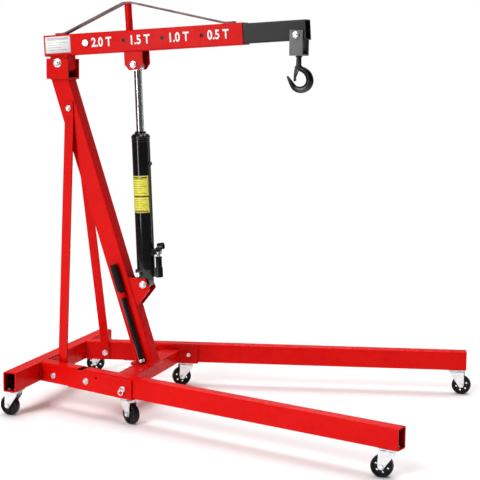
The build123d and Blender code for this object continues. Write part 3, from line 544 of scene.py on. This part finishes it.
mast_welds = Shape()
weld(mast_welds, WORLD, mast_section(FOOT_WELD_Z), 2.8)
weld(mast_welds, WORLD, mast_section(HEAD_WELD_Z), 2.6)
for y in (-FOOT_PLATE_Y, FOOT_PLATE_Y):
    weld(mast_welds, WORLD, [(x, y, CROSS_TUBE_TOP) for x in FOOT_PLATE_X], 2.6)
for y in CLEVIS_FACES:
    weld(mast_welds, WORLD, clevis_line(y), 1.9)
mast_welds.build("mast_weld", RED_WELD, "base", "frame_red")

boom_welds = Shape()
weld(boom_welds, BOOM, rectangle(*LUG_WELD, 0.2), 2.4)
for y in EAR_FACES:
    weld(boom_welds, BOOM, [(s, y, -0.2) for s in EAR_WELD_S], 2.0)
for height, radius in ((BOOM_H, 13.4), (POST_TOP - 0.4, 13.2)):
    weld(boom_welds, BOOM, circle_line(POST_S, radius, height, 36), 2.2)
for start, end in STRAP_WELD_S:
    weld(boom_welds, BOOM, [(start, -STRAP_WELD_Y, STRAP_END_U), (end, -STRAP_WELD_Y, STRAP_END_U),
                            (end, STRAP_WELD_Y, STRAP_END_U), (start, STRAP_WELD_Y, STRAP_END_U)], 1.8)
boom_welds.build("boom_weld", RED_WELD, "boom", "frame_red")

ram_welds = Shape()
for height, radius in CYLINDER_WELDS:
    weld(ram_welds, RAM, circle_line(0, radius, height, 48), 1.7)
ram_welds.build("ram_weld", BLACK_GLOSS, "ram_body", "black_enamel")


# ---- fasteners -----------------------------------------------------------------------------------
def washer(shape, place, inner, outer, low, high):
    mid = (low + high) / 2
    profile = [(inner, low), (outer - 0.5, low), (outer, mid), (outer - 0.5, high), (inner, high)]
    shape.lathe(place, profile, 48, closed=True)


def head(shape, place, face, flats, size, height, washer_t=0.0):
    """A bolt head on a face, with an optional washer under it and a shallow dish on top."""
    base = face + washer_t
    if washer_t:
        washer(shape, place, size, flats * 0.68, face, base)
    shape.hexagon(place, flats, base, base + height)
    rim = flats * 0.28
    top = base + height
    profile = [(rim + 1.2, top - 0.2), (rim + 1.0, top + 0.25), (rim, top + 0.25), (rim - 0.9, top - 0.5)]
    shape.lathe(place, profile, 32, closed=True)


def nut(shape, place, face, flats, size, height, reach, washer_t=0.0):
    """A lock nut with its turned collar, and the threaded bolt end that stands out of it."""
    base = face + washer_t
    if washer_t:
        washer(shape, place, size, flats * 0.68, face, base)
    body, top = base + height * 0.72, base + height
    shape.hexagon(place, flats, base, body)
    collar, bore = flats * 0.42, size + 0.4
    shape.lathe(place, [(collar, body - 0.5), (collar, top - 1.2), (collar - 1.2, top), (bore, top),
                        (bore, top - 1.5)], 40, closed=True)
    shape.thread(place, size, top - 3.0, top + reach)


def shank(shape, place, radius, low, high):
    tip, bevel = radius - 0.3, 0.4
    shape.lathe(place, [(tip, low), (radius, low + bevel), (radius, high - bevel), (tip, high)], 36)


def through_bolt(shape, frame_at, x, z, half, flats, size, washer_t=0.0, gap=0.0):
    """A cross bolt: the lock nut on the near side, the head on the far side; half is half its grip."""
    near = frame_at @ move(x, 0, z) @ NEAR
    far = frame_at @ move(x, 0, z) @ FAR
    nut(shape, near, half + gap, flats, size, flats * 0.44, flats * 0.12, washer_t)
    head(shape, far, half + gap, flats, size, flats * 0.4, washer_t)
    shank(shape, near, size, -half - 0.5, half + 1.5)


def fastener(name, body, replaced, fill):
    shape = Shape()
    fill(shape)
    obj = shape.build(name, ZINC, body, "zinc")
    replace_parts(obj, replaced)


def both_sides(shape, inside):
    """Adds a shape and its mirror image across the mast plane."""
    for sign in (1, -1):
        base = len(shape.verts)
        shape.verts += [Vector((v.x, sign * v.y, v.z)) for v in inside.verts]
        shape.faces += [[base + i for i in f[::sign]] for f in inside.faces]


FOLD_PIN = (224.0, 0.0, 130.0)     # along the rail, and up
BRACE_FOOT = (65.0, 0.0, 125.0)
BRACE_TOP = (3.8, 978.0)           # across the mast and up it


def fill_fold_pins(shape):
    """The legs' folding bolts, through both plates of each saddle."""
    inside = Shape()
    place = RAIL @ move(*FOLD_PIN)
    nut(inside, place @ NEAR, PLATE_FACE, flats=22, size=7, height=9.6, reach=2.6)
    head(inside, place @ FAR, TUBE_W + PLATE_FACE, flats=22, size=7, height=9)
    shank(inside, place @ NEAR, 7, -TUBE_W - 7, 8)
    both_sides(shape, inside)


def fill_brace_bolts(shape):
    """One bolt through both braces and the mast, and one through each brace's foot and rail."""
    through_bolt(shape, MAST, *BRACE_TOP, half=38, flats=20, size=6)
    inside = Shape()
    place = RAIL @ move(*BRACE_FOOT)
    nut(inside, place @ NEAR, 0.0, flats=20, size=6, height=9, reach=2.4)
    head(inside, place @ FAR, TUBE_W + 7, flats=20, size=6, height=8)
    shank(inside, place @ NEAR, 6, -TUBE_W - 8, 2)
    both_sides(shape, inside)


def fill_pivot_bolt(shape):
    through_bolt(shape, WORLD, *PIVOT, half=46, flats=24, size=8, washer_t=2.2, gap=0.3)


def fill_upper_bolt(shape):
    through_bolt(shape, BOOM, EAR_S, EAR_U, half=35, flats=25, size=8)


def fill_lower_bolt(shape):
    through_bolt(shape, WORLD, *RAM_FOOT, half=31, flats=25, size=8, gap=0.3)


def fill_yoke_bolt(shape):
    through_bolt(shape, WORLD, YOKE_X, YOKE_Z, half=39.8, flats=22, size=6)


fastener("fold_pin_bolts", "base", "fold_pins", fill_fold_pins)
fastener("brace_bolt_set", "base", "brace_bolts", fill_brace_bolts)
fastener("boom_pivot_bolt_set", "boom_pin", "boom_pivot_bolt", fill_pivot_bolt)
fastener("ram_upper_bolt_set", "boom", "ram_upper_bolt", fill_upper_bolt)
fastener("ram_lower_bolt_set", "ram_pin", "ram_lower_bolt", fill_lower_bolt)
fastener("yoke_bolt_set", "yoke", "yoke_bolt", fill_yoke_bolt)


# ---- crane hook ----------------------------------------------------------------------------------
# the bar's middle line from shank to tip: forward, up, and the bar's radius there
HOOK_BAR = [(-6, 60, 9.3), (-6, 48, 9.3), (2, 37.5, 9.8), (17, 30, 11), (30, 16, 12.5), (35, -4, 13.3),
            (29, -21, 13.3), (15, -32, 12.5), (-2, -35, 11.5), (-18, -30, 10.2), (-29, -18, 8.8),
            (-37, -5, 6.5), (-46, 9, 3.5)]


def smooth_path(points, steps):
    """Catmull-Rom through points of any number of values."""
    points = [Vector(p) for p in points]
    out = []
    for i in range(len(points) - 1):
        a, b = points[max(i - 1, 0)], points[i]
        c, d = points[i + 1], points[min(i + 2, len(points) - 1)]
        for k in range(steps):
            t = k / steps
            bend, twist = a * 2 - b * 5 + c * 4 - d, b * 3 - a - c * 3 + d
            out.append((b * 2 + (c - a) * t + bend * t * t + twist * t ** 3) * 0.5)
    return out + [points[-1]]


def forged_hook():
    """A bent bar, thinned across its belly, with a turned shank, a nut and the latch's pin ends."""
    shape = Shape()
    path = smooth_path(HOOK_BAR, 7)
    middles = [Vector((p.x, 0, p.y)) for p in path]
    rings = []
    for i, (p, spot) in enumerate(zip(path, middles)):
        tangent = (middles[min(i + 1, len(path) - 1)] - middles[max(i - 1, 0)]).normalized()
        inward = Vector((-tangent.z, 0, tangent.x))
        belly = max(0.0, min(1.0, (i - 10) / 16)) * max(0.0, min(1.0, (len(path) - 8 - i) / 16))
        ring = []
        for angle in (2 * math.pi * k / 24 for k in range(24)):
            across, depth = math.sin(angle), math.cos(angle)
            narrow = 1.0 - 0.16 * belly * (1 + depth) / 2 - 0.10 * belly * depth * depth
            ring.append(spot + inward * depth * p.z + Vector((0, 1, 0)) * across * p.z * narrow)
        rings.append(ring)
    tip, end = rings[-1], middles[-1]
    ahead = (path[-1] - path[-2]).normalized()
    for reach, scale in ((1.6, 0.82), (2.7, 0.45)):
        centre = end + Vector((ahead.x, 0, ahead.y)) * reach
        rings.append([centre + (p - end) * scale for p in tip])
    shape.rings(HOOK, rings)
    axis, shank_r, top = HOOK @ move(HOOK_SHANK_X), 9, HOOK_DROP - 71
    shape.lathe(axis, [(9.25, 53), (9.25, 60), (shank_r, 68), (shank_r, 76.6), (11.4, 77.2), (12, 78),
                       (12, top - 1.6), (11.4, top - 0.7), (shank_r, top - 0.7), (shank_r, top + 9)], 36)
    shape.hexagon(axis, 26, top + 6.8, top + 20.5)
    shape.thread(axis, shank_r, top + 19, top + 26)
    for outwards in (NEAR, FAR):
        shape.lathe(HOOK @ move(*LATCH_PIN) @ outwards,
                    [(2, 8), (2, 13), (3.2, 13.1), (3.2, 14), (2.2, 14.6)], 20)
    return shape


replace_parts(forged_hook().build("forged_hook", FORGED, "hook", "forged_steel", sharp=50), "crane_hook")


def latch_spring():
    """The small torsion spring that holds the latch against the tip: a coil and a leg on each side."""
    shape = Shape()
    turns, steps, radius, wire = 3, 60, 3.4, 0.5
    start, spread = 9.0, 0.026
    end = start + spread * steps
    for sign in (-1, 1):
        points = []
        for k in range(steps + 1):
            angle = 2 * math.pi * turns * k / steps
            points.append((radius * math.cos(angle), sign * (start + spread * k), radius * math.sin(angle)))
        points += [(radius - 4 * j, sign * end, -radius * j - 2 * j) for j in (1, 2, 3)]
        rings = [[p + a * wire * math.cos(q) + b * wire * math.sin(q) for q in (0, 1.26, 2.51, 3.77, 5.03)]
                 for p, a, b in sweep_frames(points)]
        shape.rings(HOOK @ move(*LATCH_PIN), rings)
    return shape


latch_spring().build("latch_spring", ZINC, "hook", "zinc", sharp=60)


# ---- truss strap ---------------------------------------------------------------------------------
def rounded_polyline(points, radii, steps=8):
    """A line of points whose corners are tangent arcs."""
    out = [Vector(points[0])]
    for k in range(1, len(points) - 1):
        a, p, b = (Vector(points[j]) for j in (k - 1, k, k + 1))
        before, after = (a - p).normalized(), (b - p).normalized()
        angle = before.angle(after)
        cut = min(radii[k - 1] / math.tan(angle / 2), (a - p).length * 0.45, (b - p).length * 0.45)
        start, end = p + before * cut, p + after * cut
        out += [start.lerp(p, t).lerp(p.lerp(end, t), t) for t in [j / steps for j in range(steps + 1)]]
    return out + [Vector(points[-1])]


def bent_strap():
    """A flat bar bent over the post and laid down on the boom at both ends."""
    shape = Shape()
    line = rounded_polyline([(39, 0, BOOM_H), (75, 0, BOOM_H), (POST_S - 14, 0, POST_TOP),
                             (POST_S + 14, 0, POST_TOP), (698, 0, BOOM_H), (734, 0, BOOM_H)],
                            [60, 28, 28, 90])
    rings = []
    half, t, c = 16.0, 7.0, 1.0      # half the width, the thickness and the edges' bevel
    outline = [(-half + c, 0), (half - c, 0), (half, c), (half, t - c), (half - c, t), (-half + c, t),
               (-half, t - c), (-half, c)]
    for i, p in enumerate(line):
        ahead = (line[min(i + 1, len(line) - 1)] - line[max(i - 1, 0)]).normalized()
        up = Vector((-ahead.z, 0, ahead.x))
        rings.append([p + Vector((0, y, 0)) + up * u for y, u in outline])
    shape.rings(BOOM, rings)
    return shape


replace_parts(bent_strap().build("bent_strap", STRAP, "boom", "strap_steel", sharp=30), "truss_strap")


# ---- stored handle -------------------------------------------------------------------------------
GRIP = MAST @ move(-2, -46, 0)


def ribbed_grip():
    """A pushed-on rubber grip: ribs with narrow grooves between them, a flange and a domed end."""
    profile = [(10.2, 281), (13.2, 281), (14, 282), (14, 286), (12.6, 287.4)]
    ribs, pitch = 11, 7.6
    for k in range(ribs):
        z = 288 + pitch * k
        profile += [(12.6, z + 0.6), (13.6, z + 1.4), (13.7, z + 5.6), (12.6, z + 6.6)]
    profile += [(12.8, 373), (13.4, 375), (13.0, 378.5), (11, 381), (7, 382), (0.5, 382)]
    shape = Shape()
    shape.lathe(GRIP, profile, 36)
    return shape


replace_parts(ribbed_grip().build("ribbed_grip", RUBBER, "handle", "grip_rubber", sharp=35), "handle_grip")
sleeve = Shape()
sleeve.lathe(GRIP, [(9.9, 6.2), (10.8, 6.4), (10.8, 17), (10.4, 18), (9.9, 18)], 36, closed=True)
sleeve.build("handle_tip", ZINC, "handle", "zinc")


# ---- ram details ---------------------------------------------------------------------------------
PUMP_X = 52.0                      # the pump cylinder, out from the ram's axis
LABEL_R = 33.12                    # just clear of the cylinder
LABEL_SPREAD = 66.0                # degrees each side of the near face

seal = Shape()
seal.lathe(RAM, [(14.4, 556), (19.4, 556), (19.4, 558.2), (18, 559.6), (15.2, 559.8), (14.4, 558.6)], 40,
           closed=True)
seal.build("rod_wiper", RUBBER, "ram_body", "grip_rubber")
collars = Shape()
for low in (522, 530):
    collars.lathe(RAM, [(32.9, low), (33.5, low + 0.8), (33.5, low + 2.2), (32.9, low + 3)], 56, closed=True)
collars.lathe(RAM @ move(PUMP_X), [(11.4, 94), (12.4, 94.6), (12.4, 99.2), (11.4, 100)], 32, closed=True)
collars.build("ram_collars", BLACK_GLOSS, "ram_body", "black_enamel")


def thicken(obj, thickness=0.00025):
    solid = obj.modifiers.new("thickness", "SOLIDIFY")
    solid.thickness = thickness
    solid.offset = 1


def curved_label(name, low, high, flip):
    """A sticker round the near side of the cylinder; flip turns its print upside down."""
    shape, across, up = Shape(), 18, 6
    verts = []
    for j in range(up + 1):
        for i in range(across + 1):
            angle = math.radians(-90 - LABEL_SPREAD + 2 * LABEL_SPREAD * i / across)
            shape.uvs[len(verts)] = (i / across, 1 - j / up if flip else j / up)
            verts.append((LABEL_R * math.cos(angle), LABEL_R * math.sin(angle), low + (high - low) * j / up))
    wide = across + 1
    corners = [j * wide + i for j in range(up) for i in range(across)]
    shape.add(RAM, verts, [[k, k + 1, k + wide + 1, k + wide] for k in corners])
    thicken(shape.build(name, YELLOW_LABEL, "ram_body", "black_enamel"))


curved_label("care_label_lower", 264, 322, True)
curved_label("care_label_upper", 325, 400, False)


# ---- boom markings -------------------------------------------------------------------------------
LABEL_LIFT, MARK_LIFT = 0.08, 0.1   # how far a sticker and the paint stand off the boom's side
MARKS = ("2.0 T", "1.5 T", "1.0 T", "0.5 T")
MARK_GAP, MARK_U = 21.0, 26.0       # from the hole to the numerals, and their foot
MARK_SIZE, MARK_BOLD, MARK_RAISED = 0.0445, 0.0013, 0.00012
MARK_SQUEEZE = 0.84


def rating_label(name, near):
    """A flat sticker with rounded corners near the boom's rear end."""
    shape = Shape()
    s0, s1, u0, u1, r = 5.0, 108.0, 10.0, 71.0, 3.0
    outline = []
    for cx, cz, start in ((s1 - r, u1 - r, 0), (s0 + r, u1 - r, 90), (s0 + r, u0 + r, 180),
                          (s1 - r, u0 + r, 270)):
        for k in range(5):
            angle = math.radians(start + 22.5 * k)
            outline.append((cx + r * math.cos(angle), cz + r * math.sin(angle)))
    y = -BOOM_HALF_W - LABEL_LIFT if near else BOOM_HALF_W + LABEL_LIFT
    for i, (s, u) in enumerate(outline):
        across = (s - s0) / (s1 - s0)
        shape.uvs[i] = (across if near else 1 - across, (u - u0) / (u1 - u0))
    face = list(range(len(outline)))
    shape.add(BOOM, [(s, y, u) for s, u in outline], [face[::-1] if near else face])
    thicken(shape.build(name, WHITE_LABEL, "boom", "frame_red"))


def capacity_mark(name, text, s, near):
    """Painted numerals beside a hole of the boom."""
    curve = bpy.data.curves.new(name + "_text", "FONT")
    curve.body = text
    curve.size = MARK_SIZE
    curve.offset = MARK_BOLD
    curve.space_character = 1.02
    curve.extrude = MARK_RAISED
    holder = place_object(name + "_text", curve)
    bpy.context.view_layer.update()
    mesh = bpy.data.meshes.new_from_object(holder.evaluated_get(bpy.context.evaluated_depsgraph_get()))
    bpy.data.objects.remove(holder)
    mesh.transform(Matrix.Diagonal((MARK_SQUEEZE, 1, 1, 1)))
    if near:
        rigid = BOOM @ move(s, -BOOM_HALF_W - MARK_LIFT, MARK_U) @ turn(90, "X")
    else:
        wide = max(v.co.x for v in mesh.vertices) * 1000
        rigid = BOOM @ move(s + wide, BOOM_HALF_W + MARK_LIFT, MARK_U) @ turn(180, "Z") @ turn(90, "X")
    mesh.transform(rigid @ Matrix.Scale(1000, 4))
    mesh.name = name
    mesh.materials.clear()
    mesh.materials.append(WHITE_INK)
    obj = place_object(name, mesh)
    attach(obj, "boom")


for side, near in (("near", True), ("far", False)):
    rating_label("rating_label_" + side, near)
    for k, text in enumerate(MARKS):
        capacity_mark("capacity_mark_%s_%d" % (side, k + 1), text, HOLE_S + HOLE_PITCH * k + MARK_GAP, near)


# ---- studio --------------------------------------------------------------------------------------
FRONT_SKY, BACK_SKY = 0.08, 0.22   # the sky's strength in front of the crane and behind it
CAMERA_SPOT = (1.5852, -4.4848, 1.3160)
CAMERA_YAW, CAMERA_PITCH, CAMERA_ROLL = math.radians(19.337), math.radians(-8.227), math.radians(0.714)
CAMERA_SENSOR, CAMERA_LENS, CAMERA_CLIP = 36.0, 100.55, 200.0


def floor(radius=3.2, sides=96):
    """A pale round floor under the crane."""
    s = Shader("studio_floor")
    tone = s.ramp(s.noise(0.8, 2.0), 0.3, 0.7)
    s.set(Base_Color=s.mix(tone, (0.90, 0.90, 0.90, 1), (0.885, 0.885, 0.888, 1)), Roughness=0.7,
          Specular_IOR_Level=0.15)
    mesh = bpy.data.meshes.new("studio_floor")
    angles = [2 * math.pi * k / sides for k in range(sides)]
    mesh.from_pydata([(radius * math.cos(a), radius * math.sin(a), 0) for a in angles], [],
                     [list(range(sides))])
    mesh.materials.append(s.done())
    place_object("studio_floor", mesh)


def aim(obj, spot, target):
    obj.location = spot
    obj.rotation_mode = "QUATERNION"
    obj.rotation_quaternion = (Vector(target) - Vector(spot)).to_track_quat("-Z", "Y")


def light(name, kind, spot, target, energy, **values):
    data = bpy.data.lights.new(name, kind)
    data.energy = energy
    for key, value in values.items():
        setattr(data, key, value)
    aim(place_object(name, data), spot, target)


def surroundings():
    """White to the camera, and to everything else a dim sky that is brighter behind the crane."""
    world = bpy.data.worlds.new("studio")
    world.use_nodes = True
    bpy.context.scene.world = world
    nodes, links = world.node_tree.nodes, world.node_tree.links
    nodes.clear()
    seen, lit = nodes.new("ShaderNodeBackground"), nodes.new("ShaderNodeBackground")
    seen.inputs["Color"].default_value = (1, 1, 1, 1)
    lit.inputs["Color"].default_value = (1, 1, 1, 1)
    place, split = nodes.new("ShaderNodeTexCoord"), nodes.new("ShaderNodeSeparateXYZ")
    fade = nodes.new("ShaderNodeMapRange")
    links.new(place.outputs["Generated"], split.inputs[0])
    links.new(split.outputs["Y"], fade.inputs["Value"])
    for key, value in (("From Min", -0.5), ("From Max", 0.9), ("To Min", FRONT_SKY), ("To Max", BACK_SKY)):
        fade.inputs[key].default_value = value
    links.new(fade.outputs[0], lit.inputs["Strength"])
    path, mix = nodes.new("ShaderNodeLightPath"), nodes.new("ShaderNodeMixShader")
    out = nodes.new("ShaderNodeOutputWorld")
    links.new(path.outputs["Is Camera Ray"], mix.inputs[0])
    links.new(lit.outputs[0], mix.inputs[1])
    links.new(seen.outputs[0], mix.inputs[2])
    links.new(mix.outputs[0], out.inputs[0])


floor()
surroundings()
light("key_sun", "SUN", (-1.4, -5.0, 5.0), (0, 0, 0), energy=1.05, angle=math.radians(24))
light("top_sun", "SUN", (0.2, 1.2, 6.0), (0, 0, 0), energy=2.4, angle=math.radians(50))
light("key_panel", "AREA", (-2.0, -4.4, 1.6), (0, 0, 0.9), 70, shape="RECTANGLE", size=0.75, size_y=3.2)
light("upper_panel", "AREA", (-1.2, -3.0, 2.6), (-0.5, 0, 1.1), 20, shape="RECTANGLE", size=0.9, size_y=0.7)
light("rim_panel", "AREA", (3.4, 2.9, 1.6), (0, 0, 0.9), 12, shape="RECTANGLE", size=0.25, size_y=3.0)
light("back_panel", "AREA", (-1.6, 4.2, 3.0), (0, 0, 0.7), 30, shape="RECTANGLE", size=2.4, size_y=1.6)


def camera():
    yaw, pitch, roll = CAMERA_YAW, CAMERA_PITCH, CAMERA_ROLL
    ahead = Vector((-math.sin(yaw) * math.cos(pitch), math.cos(yaw) * math.cos(pitch), math.sin(pitch)))
    right = ahead.cross(Vector((0, 0, 1))).normalized()
    up = right.cross(ahead)
    rolled_right = right * math.cos(roll) + up * math.sin(roll)
    rolled_up = up * math.cos(roll) - right * math.sin(roll)
    data = bpy.data.cameras.new("camera")
    data.sensor_width = CAMERA_SENSOR
    data.lens = CAMERA_LENS
    data.clip_end = CAMERA_CLIP
    obj = place_object("camera", data)
    axes = Matrix((rolled_right, rolled_up, -ahead)).transposed().to_4x4()
    obj.matrix_world = Matrix.Translation(CAMERA_SPOT) @ axes
    bpy.context.scene.camera = obj


camera()
bpy.context.scene.view_settings.view_transform = "Standard"
bpy.context.scene.view_settings.look = "None"
